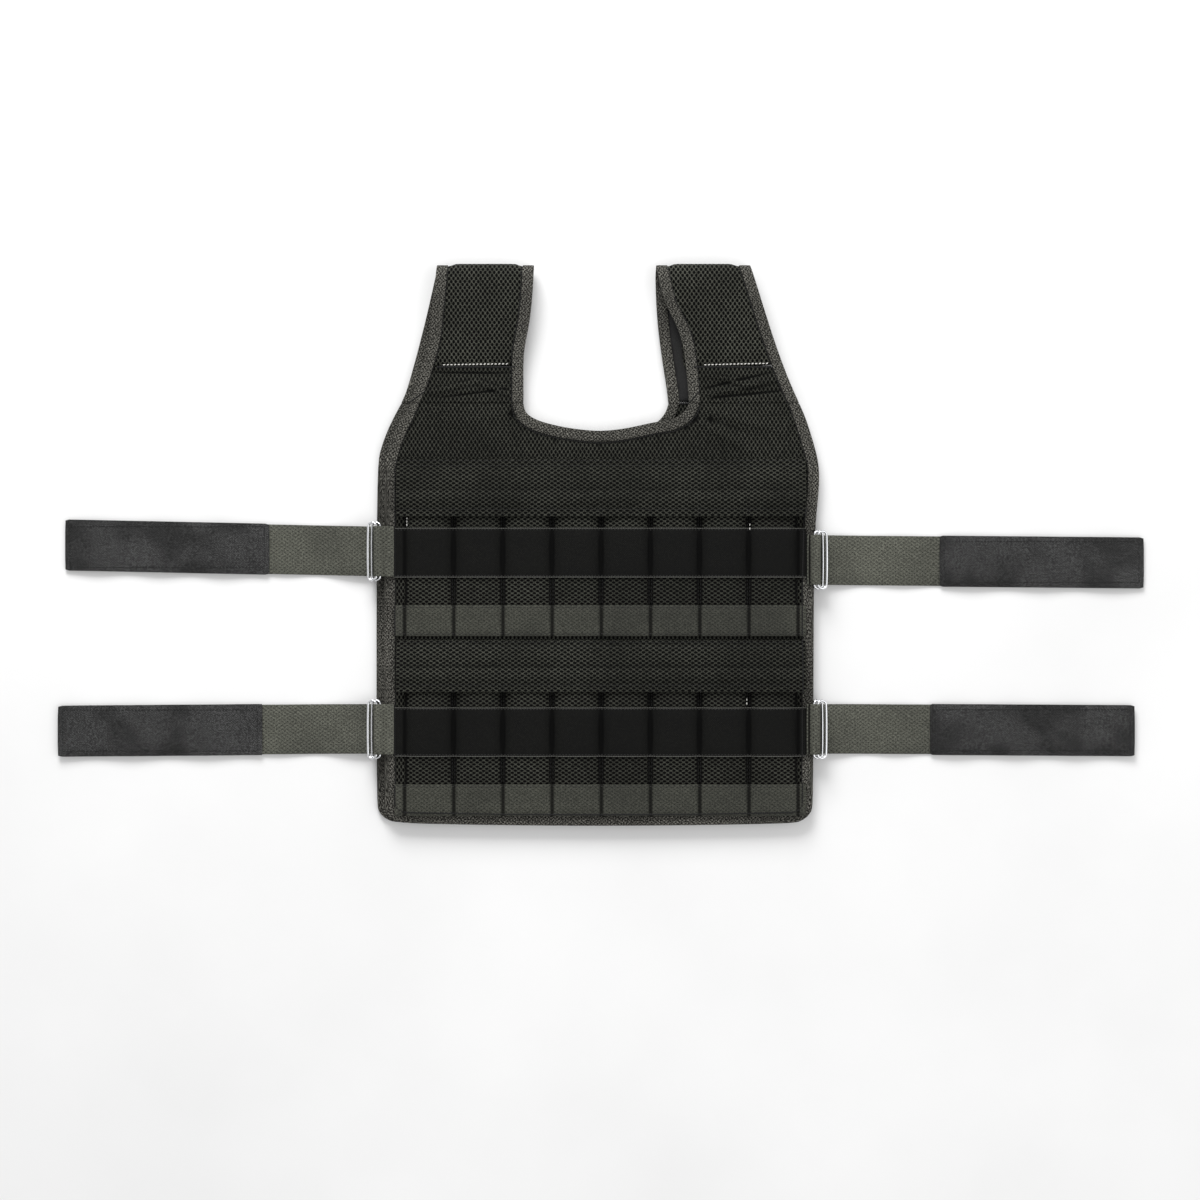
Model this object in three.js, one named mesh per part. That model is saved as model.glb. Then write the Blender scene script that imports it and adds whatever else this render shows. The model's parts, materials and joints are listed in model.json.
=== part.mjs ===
// A weighted vest that lies on its back on a floor, its front up and its side straps spread out.
// Lengths are millimetres. x runs across the vest, y up it from the hem, and z is the height above the floor.
import * as THREE from 'three';

// Heights of the strips that are sewn across each row of pockets, from the row's lower seam up
const ROWS = {
  lower: { web: 32, mesh: 27, loop: 49.5, strip: 15, covered: 12, flap: 51.5, seam: 3.5, crease: 26 },
  upper: { web: 31, mesh: 27, loop: 50, strip: 11, covered: 17, flap: 57.5, seam: 6.5, crease: 30.5 },
};
const HEM_MARGIN = 10; // hem edge to the lower seam of the lower pockets
const ROW_GAP = 4; // upper edge of the lower flap to the lower seam of the upper pockets
const YOKE_HEIGHT = 55.5; // upper edge of the upper flap to the seam under the shoulder straps
const STRAP_RISE = 139; // that seam to the fold of the shoulders

// Panels
const PANEL_HALF = 214; // half the width of a panel at the hem
const PANEL_THICK = 5.4; // quilted middle of a panel
const EDGE_THICK = 3; // a panel's rim, pressed flat by the binding
const HEM_RADIUS = 22;
const HEM_SAG = 3; // how much lower the hem hangs at its middle than at its corners
const NECK_DROP = 28; // seam under the shoulder straps down to the lowest point of the front neck edge
const BACK_NECK_DROP = 36; // the same at the back
const BACK_SHIFT = 7.8; // how far the back layer lies to the left of the front layer

// Edge binding, a tape folded round the rim
const BINDING_WIDTH = 11;
const BINDING_WALL = 0.9;
const RIM_TUCK = 2.2; // outer edge of the binding to the rim inside it
const FIT_GAP = 0.3; // clearance between pieces that touch

// Shoulder straps
const PAD_THICK = 8;
const FOLD_GAP = 10; // clear height inside the fold of a shoulder
const PAD_START = 36; // seam to the stitched front end of a pad
const PAD_SWELL = 16; // length over which a pad reaches its full thickness
const JOIN_THICK = 2.6; // the wrinkled mesh between the seam and a pad
const JOIN_FOLD = 1.5; // height of its wrinkles

// Pockets
const POCKETS = 8;
const POCKET_MARGIN = 18.4; // panel's edge to the row of pockets, on each side
const POCKET_RISE = 5.5; // clear height inside an empty pocket
const POCKET_WALL = 1.5;
const POCKET_FLANGE = 2.2; // the flat sewn edge beside each divider seam
const POCKET_SHOULDER = 12; // width over which a pocket rises to its flat top
const ROW_MIDDLE = 2.5; // how far the pocket rows sit to the right of the panel's middle
const LOOP_THICK = 1.2;
const WEB_THICK = 1.5;
const BAND_OVERHANG = { left: 10.2, right: 8.8 }; // how far a band runs past the first and last pocket

// Flaps
const FLAP_OVERHANG = 7.9; // how far a flap runs past the row of pockets, on each side
const FLAP_THICK = 1.8;
const FLAP_PUFF = 2.6; // extra thickness at the middle of each sewn channel
const FLAP_HEM = 7; // the flat hem at the free edge
const FLAP_CURL = 2.5; // how far the right-hand end of a flap stands up

// Side straps, their hook patches, and the loops and rings on the front panel's sides
const STRAP_WIDTH = 49.5;
const STRAP_THICK = 1.6;
const STRAP_ROOT = 36; // length that is sewn on the back panel
const STRAP_LEVEL = 14; // length past the panel before the strap drops to the floor
const STRAP_DROP = 46; // length over which it drops
const PATCH_WIDTH = 51;
const PATCH_THICK = 1.6;
const PATCH_LENGTH = 204;
const WAVE_HEIGHT = 2.4;
const TAB_HEIGHT = 50;
const TAB_THICK = 1.5;
const RING_WIRE = 3.2;
const RING_DEPTH = 9.7; // between the middles of a ring's two long bars
const RING_SPAN = 57.2; // between the middles of its two short bars
const RING_CORNER = 4;
const RING_TILT = THREE.MathUtils.degToRad(15);
const RING_STEP = 3.7; // how much further out the upper ring of a pair lies

// Outer edge of the front layer: up is a share of the vest's length, out a share of PANEL_HALF
const OUTER_EDGE = {
  left: [
    { up: 0, out: 1 },
    { up: 0.634, out: 1 },
    { up: 0.661, out: 0.987 },
    { up: 0.705, out: 0.947 },
    { up: 0.764, out: 0.87 },
    { up: 0.804, out: 0.831 },
    { up: 0.87, out: 0.784 },
    { up: 0.937, out: 0.765 },
    { up: 1, out: 0.748 },
  ],
  right: [
    { up: 0, out: 1 },
    { up: 0.402, out: 1 },
    { up: 0.536, out: 1.007 },
    { up: 0.589, out: 1.024 },
    { up: 0.625, out: 1.028 },
    { up: 0.652, out: 1.022 },
    { up: 0.688, out: 0.995 },
    { up: 0.723, out: 0.967 },
    { up: 0.759, out: 0.925 },
    { up: 0.795, out: 0.883 },
    { up: 0.866, out: 0.813 },
    { up: 0.937, out: 0.752 },
    { up: 1, out: 0.7 },
  ],
};

// Inner edge of each front shoulder strap, in the same shares
const INNER_EDGE = {
  left: [
    { up: 0.734, out: 0.35 },
    { up: 0.83, out: 0.35 },
    { up: 0.902, out: 0.317 },
    { up: 0.937, out: 0.308 },
    { up: 1, out: 0.298 },
  ],
  right: [
    { up: 0.734, out: 0.423 },
    { up: 0.795, out: 0.412 },
    { up: 0.87, out: 0.383 },
    { up: 0.937, out: 0.299 },
    { up: 1, out: 0.266 },
  ],
};

// How far the back layer lies to the left of the front one, as a multiple of BACK_SHIFT
const BACK_LEAN = {
  left: [
    { up: 0, shift: 1 },
    { up: 0.87, shift: 1 },
    { up: 0.94, shift: 0.5 },
    { up: 1, shift: 0 },
  ],
  right: [
    { up: 0, shift: 1 },
    { up: 0.66, shift: 1 },
    { up: 0.73, shift: 2.5 },
    { up: 0.87, shift: 2.8 },
    { up: 0.937, shift: 1 },
    { up: 1, shift: 0 },
  ],
};

// Neck edges from the left strap to the right one: across is a share of their width, down of their drop
const FRONT_NECK = [
  { across: 0, down: 0 },
  { across: 0.008, down: 0.3 },
  { across: 0.04, down: 0.47 },
  { across: 0.1, down: 0.65 },
  { across: 0.22, down: 0.83 },
  { across: 0.34, down: 0.94 },
  { across: 0.46, down: 1 },
  { across: 0.58, down: 0.94 },
  { across: 0.7, down: 0.8 },
  { across: 0.8, down: 0.66 },
  { across: 0.89, down: 0.6 },
  { across: 0.955, down: 0.42 },
  { across: 0.988, down: 0.18 },
  { across: 1, down: 0 },
];
const BACK_NECK = [
  { across: 0, down: 0 },
  { across: 0.02, down: 0.3 },
  { across: 0.09, down: 0.6 },
  { across: 0.22, down: 0.85 },
  { across: 0.5, down: 1 },
  { across: 0.78, down: 0.85 },
  { across: 0.91, down: 0.6 },
  { across: 0.98, down: 0.3 },
  { across: 1, down: 0 },
];

// Wrinkles of the mesh under each pad: up at its outer end, middle and inner end, and its height,
// as shares of the strip's own height and of JOIN_FOLD
const JOIN_FOLDS = {
  left: [
    { outer: 0.2, middle: 0.5, inner: 0.2, height: 1 },
    { outer: 0.78, middle: 0.8, inner: 0.84, height: -0.7 },
  ],
  right: [
    { outer: 0.75, middle: 0.5, inner: 0.25, height: 0.9 },
    { outer: 0.5, middle: 0.16, inner: 0.6, height: -0.7 },
  ],
};

// Side straps: the row of pockets they are level with, how far above the middle of its loop band they lie,
// how much higher the tip lies, the bare length between panel and patch, and the waves on the floor
const SIDE_STRAPS = [
  { row: 'upper', side: 'left', above: 1.5, lean: 6.5, bare: 107, waves: 4 },
  { row: 'lower', side: 'left', above: 2.75, lean: -2.5, bare: 114, waves: 3.5 },
  { row: 'upper', side: 'right', above: -7, lean: -3, bare: 134, waves: 4 },
  { row: 'lower', side: 'right', above: 2.75, lean: -2, bare: 125, waves: 4.5 },
];

// Loops on the sides: where the inner ring's hidden bar lies past the panel's edge, and the sewn length
const TABS = {
  left: { bar: 2.4, root: 10.5 },
  right: { bar: -0.5, root: 7 },
};

// Derived heights and levels
const LOWER_BASE = HEM_MARGIN;
const LOWER_FLAP_EDGE = LOWER_BASE + ROWS.lower.web + ROWS.lower.mesh + ROWS.lower.loop + ROWS.lower.strip;
const UPPER_BASE = LOWER_FLAP_EDGE + ROWS.lower.flap + ROW_GAP;
const UPPER_FLAP_EDGE = UPPER_BASE + ROWS.upper.web + ROWS.upper.mesh + ROWS.upper.loop + ROWS.upper.strip;
const SEAM_UP = UPPER_FLAP_EDGE + ROWS.upper.flap + YOKE_HEIGHT;
const VEST_LENGTH = SEAM_UP + STRAP_RISE;
const BINDING_HALF = EDGE_THICK / 2 + FIT_GAP + BINDING_WALL;
const BACK_MID = Math.max(PANEL_THICK / 2, BINDING_HALF);
const BACK_TOP = 2 * BACK_MID;
const ROOT_LEVEL = BACK_TOP + FIT_GAP;
const FRONT_MID = ROOT_LEVEL + STRAP_THICK + FIT_GAP + BACK_MID;
const FRONT_TOP = FRONT_MID + BACK_MID;
const FOLD_RADIUS = (FOLD_GAP + PAD_THICK) / 2;
const FOLD_UP = VEST_LENGTH - FOLD_RADIUS - PAD_THICK / 2;
const FOLD_MID = PAD_THICK / 2 + FOLD_RADIUS;
const POCKET_PITCH = (2 * (PANEL_HALF - POCKET_MARGIN)) / POCKETS;
const POCKET_WIDTH = POCKET_PITCH - 2 * FIT_GAP;
const FLAP_WIDTH = POCKETS * POCKET_PITCH + 2 * FLAP_OVERHANG;
const ROW_BASE = { lower: LOWER_BASE, upper: UPPER_BASE };
const POCKET_LEVEL = FRONT_TOP + FIT_GAP;
const POCKET_TOP = POCKET_LEVEL + POCKET_WALL + POCKET_RISE;

const MATERIALS = {
  mesh: { color: 0x242622, roughness: 0.9, metalness: 0 },
  binding: { color: 0x3d3c38, roughness: 0.9, metalness: 0 },
  loop: { color: 0x111211, roughness: 1, metalness: 0 },
  webbing: { color: 0x4a4a45, roughness: 0.85, metalness: 0 },
  hook: { color: 0x333332, roughness: 0.8, metalness: 0 },
  steel: { color: 0xd9dadd, roughness: 0.15, metalness: 1 },
};

const vest = new THREE.Group();

function addPiece(name, geometry, material) {
  const mesh = new THREE.Mesh(geometry, new THREE.MeshStandardMaterial(MATERIALS[material]));
  mesh.name = name;
  vest.add(mesh);
}

function smooth(t) {
  const s = THREE.MathUtils.clamp(t, 0, 1);
  return s * s * (3 - 2 * s);
}

// A smooth curve through a table's rows, without overshoot, as a function of one column
function curve(rows, from, to) {
  const gaps = rows.slice(1).map((row, i) => row[from] - rows[i][from]);
  const slopes = gaps.map((gap, i) => (rows[i + 1][to] - rows[i][to]) / gap);
  const tangents = rows.map((row, i) => {
    if (i === 0 || i === rows.length - 1) return slopes[Math.min(i, slopes.length - 1)];
    const [before, after] = [slopes[i - 1], slopes[i]];
    return before * after > 0 ? (2 * before * after) / (before + after) : 0;
  });
  return (at) => {
    const x = THREE.MathUtils.clamp(at, rows[0][from], rows[rows.length - 1][from]);
    const i = Math.max(0, rows.findIndex((row, k) => k > 0 && x <= row[from]) - 1);
    const t = (x - rows[i][from]) / gaps[i];
    const rise = (rows[i + 1][to] - rows[i][to]) * t * t * (3 - 2 * t);
    const bend = t * (1 - t) * ((1 - t) * tangents[i] - t * tangents[i + 1]) * gaps[i];
    return rows[i][to] + rise + bend;
  };
}

const SIDES = { left: -1, right: 1 };
const outerShare = {};
const innerShare = {};
const leanShare = {};
for (const side of Object.keys(SIDES)) {
  outerShare[side] = curve(OUTER_EDGE[side], 'up', 'out');
  innerShare[side] = curve(INNER_EDGE[side], 'up', 'out');
  leanShare[side] = curve(BACK_LEAN[side], 'up', 'shift');
}

// x of a layer's outer or inner edge; layer is 0 for the front, 1 for the back, between them on the fold
function edgeX(shares, side, layer, y) {
  const up = y / VEST_LENGTH;
  return SIDES[side] * PANEL_HALF * shares[side](up) - layer * BACK_SHIFT * leanShare[side](up);
}

// A closed body from a list of points and faces, turned so that its faces point out
function body(points, faces) {
  let volume = 0;
  for (const [a, b, c] of faces) {
    volume += points[a].dot(new THREE.Vector3().crossVectors(points[b], points[c]));
  }
  const index = faces.flatMap(([a, b, c]) => (volume > 0 ? [a, b, c] : [a, c, b]));
  const geometry = new THREE.BufferGeometry();
  geometry.setAttribute('position', new THREE.Float32BufferAttribute(points.flatMap((p) => p.toArray()), 3));
  geometry.setIndex(index);
  return geometry;
}

function quad(a, b, c, d) {
  return [
    [a, b, c],
    [a, c, d],
  ];
}

// A sheet with an upper and a lower face, each a grid of the same rows and columns
function sheet(rows, columns, upper, lower) {
  const points = [];
  for (const face of [upper, lower]) {
    for (let r = 0; r < rows; r += 1) {
      for (let c = 0; c < columns; c += 1) points.push(face(r, c));
    }
  }
  const at = (face, r, c) => (face * rows + r) * columns + c;
  const faces = [];
  for (let r = 0; r < rows - 1; r += 1) {
    for (let c = 0; c < columns - 1; c += 1) {
      faces.push(...quad(at(0, r, c), at(0, r, c + 1), at(0, r + 1, c + 1), at(0, r + 1, c)));
      faces.push(...quad(at(1, r, c), at(1, r + 1, c), at(1, r + 1, c + 1), at(1, r, c + 1)));
    }
  }
  for (let r = 0; r < rows - 1; r += 1) {
    const last = columns - 1;
    faces.push(...quad(at(0, r, 0), at(0, r + 1, 0), at(1, r + 1, 0), at(1, r, 0)));
    faces.push(...quad(at(0, r + 1, last), at(0, r, last), at(1, r, last), at(1, r + 1, last)));
  }
  for (let c = 0; c < columns - 1; c += 1) {
    const last = rows - 1;
    faces.push(...quad(at(0, 0, c + 1), at(0, 0, c), at(1, 0, c), at(1, 0, c + 1)));
    faces.push(...quad(at(0, last, c), at(0, last, c + 1), at(1, last, c + 1), at(1, last, c)));
  }
  return body(points, faces);
}

// A section of [a, b] points carried along stations, each with an origin and the section's two directions
function sweep(section, stations, closed = false) {
  const size = section.length;
  const points = stations.flatMap(({ origin, a, b }) =>
    section.map(([u, v]) => origin.clone().addScaledVector(a, u).addScaledVector(b, v)),
  );
  const faces = [];
  const spans = closed ? stations.length : stations.length - 1;
  for (let s = 0; s < spans; s += 1) {
    const next = (s + 1) % stations.length;
    for (let k = 0; k < size; k += 1) {
      const turn = (k + 1) % size;
      faces.push(...quad(s * size + k, s * size + turn, next * size + turn, next * size + k));
    }
  }
  if (!closed) {
    const last = (stations.length - 1) * size;
    const outline = section.map(([u, v]) => new THREE.Vector2(u, v));
    const counterclockwise = THREE.ShapeUtils.area(outline) > 0;
    for (const [a, b, c] of THREE.ShapeUtils.triangulateShape(outline, [])) {
      const [p, q] = counterclockwise ? [b, c] : [c, b];
      faces.push([a, q, p], [last + a, last + p, last + q]);
    }
  }
  return body(points, faces);
}

// The two bound edges of a layer: down one side, round the hem and up the other, and along the neck
function boundEdges(layer, neckRows, neckDrop) {
  const armholeSteps = [1, 0.82, 0.64, 0.46, 0.26, 0];
  const armholeStart = OUTER_EDGE.left[1].up * VEST_LENGTH;
  const side = (name, y) => new THREE.Vector2(edgeX(outerShare, name, layer, y), y);
  const corner = (name, turn) => {
    const middle = edgeX(outerShare, name, layer, HEM_RADIUS) - SIDES[name] * HEM_RADIUS;
    const x = middle + SIDES[name] * HEM_RADIUS * Math.cos(turn);
    const y = HEM_RADIUS * (1 - Math.sin(turn));
    return new THREE.Vector2(x, y + HEM_SAG * (1 - y / HEM_RADIUS) * (x / PANEL_HALF) ** 2);
  };
  const turns = [0, 1, 2, 3, 4].map((k) => (k * Math.PI) / 8);
  const hem = [-0.45, 0, 0.45].map((share) => new THREE.Vector2(share * PANEL_HALF, HEM_SAG * share ** 2));
  const below = (row) => row.up > 0 && row.up * VEST_LENGTH < SEAM_UP - BINDING_WIDTH;
  const rightRows = OUTER_EDGE.right.filter(below);
  const outer = [
    ...armholeSteps.map((t) => side('left', armholeStart + t * (SEAM_UP - armholeStart))),
    ...turns.map((turn) => corner('left', turn)),
    ...hem,
    ...turns.map((turn) => corner('right', turn)).reverse(),
    ...rightRows.map((row) => side('right', row.up * VEST_LENGTH)),
    side('right', SEAM_UP),
  ];
  const from = edgeX(innerShare, 'left', layer, SEAM_UP);
  const to = edgeX(innerShare, 'right', layer, SEAM_UP);
  const neck = neckRows.map(({ across, down }) => {
    return new THREE.Vector2(from + across * (to - from), SEAM_UP - down * neckDrop);
  });
  return [withInward(outer, 1, -1), withInward(neck.reverse(), 1, -1)];
}

// Each point of a bound edge with the direction that leads into the cloth; the ends keep to the seam
function withInward(points, first, last) {
  return points.map((point, i) => {
    if (i === 0) return { point, inward: new THREE.Vector2(first, 0) };
    if (i === points.length - 1) return { point, inward: new THREE.Vector2(last, 0) };
    const before = point.clone().sub(points[i - 1]).normalize();
    const after = points[i + 1].clone().sub(point).normalize();
    const along = before.add(after);
    return { point, inward: new THREE.Vector2(-along.y, along.x).normalize() };
  });
}

// A panel inside its two bound edges, thin at the rim and thick in the middle
function panel(edges, mid) {
  const steps = [
    { inset: RIM_TUCK, half: EDGE_THICK / 2 },
    { inset: BINDING_WIDTH + 2, half: EDGE_THICK / 2 },
    { inset: BINDING_WIDTH + 7, half: PANEL_THICK / 2 },
  ];
  const points = [];
  const rings = steps.map(({ inset, half }) =>
    [1, -1].map((face) =>
      edges.map((edge) =>
        edge.map(({ point, inward }) => {
          const seam = point.y === SEAM_UP ? FIT_GAP / 2 : 0;
          const place = point.clone().addScaledVector(inward, inset);
          points.push(new THREE.Vector3(place.x, place.y - seam, mid + face * half));
          return points.length - 1;
        }),
      ),
    ),
  );
  const faces = [];
  const strip = (from, to) => {
    for (let i = 0; i < from.length - 1; i += 1) faces.push(...quad(from[i], from[i + 1], to[i + 1], to[i]));
  };
  for (const e of [0, 1]) {
    for (const r of [0, 1]) {
      strip(rings[r][0][e], rings[r + 1][0][e]);
      strip(rings[r + 1][1][e], rings[r][1][e]);
    }
    strip(rings[0][1][e], rings[0][0][e]);
    const end = (ring, face) => rings[ring][face][e].at(-1);
    const start = (ring, face) => rings[ring][face][1 - e][0];
    const upper = [end(0, 0), end(1, 0), end(2, 0), start(2, 0), start(1, 0), start(0, 0)];
    const lower = [end(0, 1), end(1, 1), end(2, 1), start(2, 1), start(1, 1), start(0, 1)];
    strip(lower, upper);
  }
  const middle = [...rings[2][0][0], ...rings[2][0][1]];
  const under = [...rings[2][1][0], ...rings[2][1][1]];
  const outline = middle.map((k) => new THREE.Vector2(points[k].x, points[k].y));
  for (const [a, b, c] of THREE.ShapeUtils.triangulateShape(outline, [])) {
    faces.push([middle[a], middle[b], middle[c]], [under[a], under[c], under[b]]);
  }
  return body(points, faces);
}

// The tape's section, open towards the cloth
const BINDING_SECTION = [
  [BINDING_WIDTH, BINDING_HALF],
  [0, BINDING_HALF],
  [0, -BINDING_HALF],
  [BINDING_WIDTH, -BINDING_HALF],
  [BINDING_WIDTH, -BINDING_HALF + BINDING_WALL],
  [BINDING_WALL, -BINDING_HALF + BINDING_WALL],
  [BINDING_WALL, BINDING_HALF - BINDING_WALL],
  [BINDING_WIDTH, BINDING_HALF - BINDING_WALL],
];

function flatBinding(edge, mid) {
  const up = new THREE.Vector3(0, 0, 1);
  const stations = edge.map(({ point, inward }) => {
    const seam = point.y === SEAM_UP ? FIT_GAP / 2 : 0;
    return {
      origin: new THREE.Vector3(point.x, point.y - seam, mid),
      a: new THREE.Vector3(inward.x, inward.y, 0),
      b: up,
    };
  });
  return sweep(BINDING_SECTION, stations);
}

// Height of the middle of a shoulder strap above the floor, on the front and on the back
function frontMid(y) {
  return FRONT_MID + (FOLD_MID + FOLD_RADIUS - FRONT_MID) * smooth((y - SEAM_UP) / (FOLD_UP - SEAM_UP));
}

function backMid(y) {
  return BACK_MID + (PAD_THICK / 2 - BACK_MID) * smooth((y - SEAM_UP) / PAD_SWELL);
}

// Stations of a shoulder strap between two lengths of its run: up the front, round the fold, down the back.
// Each has its place, the direction that points out of the strap, its layer and the strap's thickness there.
const PAD_END = SEAM_UP + PAD_START;
const FRONT_STEPS = [0, 0.16, 0.32, 0.5, 0.7, 0.88, 1];
const FOLD_STEPS = [1, 2, 3, 4, 5];

function padThickness(y) {
  return JOIN_THICK + (PAD_THICK - JOIN_THICK) * smooth((y - PAD_END) / PAD_SWELL);
}

function padStations() {
  const stations = FRONT_STEPS.map((t) => {
    const y = PAD_END + FIT_GAP / 2 + t * (FOLD_UP - PAD_END - FIT_GAP / 2);
    return { y, z: frontMid(y), out: [0, 1], layer: 0, thick: padThickness(y) };
  });
  for (const k of FOLD_STEPS) {
    const turn = (Math.PI * k) / (FOLD_STEPS.length + 1);
    const out = [Math.sin(turn), Math.cos(turn)];
    const y = FOLD_UP + FOLD_RADIUS * out[0];
    stations.push({ y, z: FOLD_MID + FOLD_RADIUS * out[1], out, layer: turn / Math.PI, thick: PAD_THICK });
  }
  const halfway = SEAM_UP + 0.6 * (FOLD_UP - SEAM_UP);
  const swelling = [SEAM_UP + PAD_SWELL, SEAM_UP + PAD_SWELL / 2];
  for (const y of [FOLD_UP, halfway, ...swelling, SEAM_UP + FIT_GAP / 2]) {
    const thick = 2 * backMid(y);
    stations.push({ y, z: backMid(y), out: [0, -1], layer: 1, thick });
  }
  return stations;
}

// x of the two edges of a shoulder strap at a station
function strapEdges(side, { y, layer }) {
  const reach = Math.min(y, VEST_LENGTH);
  return [edgeX(outerShare, side, layer, reach), edgeX(innerShare, side, layer, reach)];
}

function shoulderPad(side) {
  const stations = padStations();
  const rim = [RIM_TUCK, BINDING_WIDTH + 2, BINDING_WIDTH + 7];
  const half = (c, thick) => (c < 2 || c > 4 ? Math.min(EDGE_THICK, thick) / 2 : thick / 2);
  const across = (station, c) => {
    const [outer, inner] = strapEdges(side, station);
    const into = Math.sign(inner - outer);
    if (c < 3) return outer + into * rim[c];
    if (c > 3) return inner - into * rim[6 - c];
    return (outer + inner) / 2;
  };
  const face = (way) => (r, c) => {
    const station = stations[r];
    const h = way * half(c, station.thick);
    const [along, up] = station.out;
    return new THREE.Vector3(across(station, c), station.y + h * along, station.z + h * up);
  };
  return sheet(stations.length, 7, face(1), face(-1));
}

// The wrinkled strip between the seam and the pad
function strapJoin(side) {
  const rows = 8;
  const columns = 9;
  const from = SEAM_UP + FIT_GAP / 2;
  const to = PAD_END - FIT_GAP / 2;
  const wrinkle = (u, v) => {
    const calm = Math.sin(Math.PI * u) ** 0.5 * Math.sin(Math.PI * v) ** 0.5;
    let height = 0;
    for (const fold of JOIN_FOLDS[side]) {
      const line = (1 - u) ** 2 * fold.outer + 2 * u * (1 - u) * fold.middle + u ** 2 * fold.inner;
      height += fold.height * Math.exp(-(((v - line) / 0.16) ** 2));
    }
    return JOIN_FOLD * calm * height;
  };
  const face = (way) => (r, c) => {
    const v = r / (rows - 1);
    const y = from + v * (to - from);
    const [outer, inner] = strapEdges(side, { y, layer: 0 });
    const into = Math.sign(inner - outer);
    const [start, end] = [outer + into * RIM_TUCK, inner - into * RIM_TUCK];
    const lips = [outer + into * (BINDING_WIDTH + 2), inner - into * (BINDING_WIDTH + 2)];
    const u = (c - 1) / (columns - 3);
    const inside = c > 0 && c < columns - 1;
    const x = inside ? lips[0] + u * (lips[1] - lips[0]) : c === 0 ? start : end;
    const z = frontMid(y) + way * (JOIN_THICK / 2) + (inside ? wrinkle(u, v) : 0);
    return new THREE.Vector3(x, y, z);
  };
  return sheet(rows, columns, face(1), face(-1));
}

// The tape along one edge of a shoulder strap, from the front seam over the fold to the back seam
function shoulderBinding(side, which) {
  const joinSteps = [0, 0.33, 0.67].map((t) => {
    const y = SEAM_UP + FIT_GAP / 2 + t * PAD_START;
    return { y, z: frontMid(y), out: [0, 1], layer: 0 };
  });
  const stations = [...joinSteps, ...padStations()].map((station) => {
    const [outer, inner] = strapEdges(side, station);
    const into = Math.sign(inner - outer) * (which === 'outer' ? 1 : -1);
    return {
      origin: new THREE.Vector3(which === 'outer' ? outer : inner, station.y, station.z),
      a: new THREE.Vector3(into, 0, 0),
      b: new THREE.Vector3(0, ...station.out),
    };
  });
  return sweep(BINDING_SECTION, stations);
}

// Across one pocket: distance from its edge and rise, for the outer and the inner face of its wall
function pocketProfile() {
  const run = POCKET_SHOULDER / 2;
  const half = [
    { outer: 0, inner: 0, rise: 0 },
    { outer: POCKET_FLANGE, inner: POCKET_FLANGE + POCKET_WALL * 0.8, rise: 0 },
    { outer: POCKET_FLANGE + 0.7 * run, inner: POCKET_FLANGE + POCKET_WALL * 0.8 + 0.7 * run, rise: 0.75 },
    { outer: POCKET_FLANGE + 2 * run, inner: POCKET_FLANGE + POCKET_WALL * 0.4 + 2 * run, rise: 1 },
  ];
  const mirrored = half.map(({ outer, inner, rise }) => {
    return { outer: POCKET_WIDTH - outer, inner: POCKET_WIDTH - inner, rise };
  });
  return [...half, ...mirrored.reverse()];
}

function pocketLeft(index) {
  return ROW_MIDDLE + (index - POCKETS / 2) * POCKET_PITCH + FIT_GAP;
}

// One pocket: flat along its lower seam and its two divider seams, open along its upper edge
function pocket(index, base, row) {
  const profile = pocketProfile();
  const mouth = base + row.web + row.mesh + row.loop + row.strip + row.covered;
  const steps = [
    { y: base, open: 0 },
    { y: base + row.web, open: 1 },
    { y: mouth, open: 1 },
  ];
  const left = pocketLeft(index);
  const outer = (r, c) => {
    const z = POCKET_LEVEL + POCKET_WALL + POCKET_RISE * profile[c].rise * steps[r].open;
    return new THREE.Vector3(left + profile[c].outer, steps[r].y, z);
  };
  const inner = (r, c) => {
    const z = POCKET_LEVEL + POCKET_RISE * profile[c].rise * steps[r].open;
    return new THREE.Vector3(left + profile[c].inner, steps[r].y, z);
  };
  return sheet(steps.length, profile.length, outer, inner);
}

// A band sewn across a whole row of pockets, following each of them
function band(from, to, thick, openFrom) {
  const rows = [
    { y: from + FIT_GAP / 2, open: openFrom },
    { y: to - FIT_GAP / 2, open: 1 },
  ];
  const run = [];
  const first = pocketLeft(0);
  const last = pocketLeft(POCKETS - 1) + POCKET_WIDTH;
  const step = POCKET_WALL * 2;
  run.push({ x: first - BAND_OVERHANG.left, z: 0, rise: 0 }, { x: first - step, z: 0, rise: 0 });
  for (let k = 0; k < POCKETS; k += 1) {
    for (const { outer, rise } of pocketProfile()) {
      run.push({ x: pocketLeft(k) + outer, z: POCKET_WALL, rise });
    }
  }
  run.push({ x: last + step, z: 0, rise: 0 }, { x: last + BAND_OVERHANG.right, z: 0, rise: 0 });
  const face = (lift) => (r, c) => {
    const { x, z, rise } = run[c];
    const under = POCKET_LEVEL + z + FIT_GAP + POCKET_RISE * rise * rows[r].open;
    return new THREE.Vector3(x, rows[r].y, under + lift);
  };
  return sheet(rows.length, run.length, face(thick), face(0));
}

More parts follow.
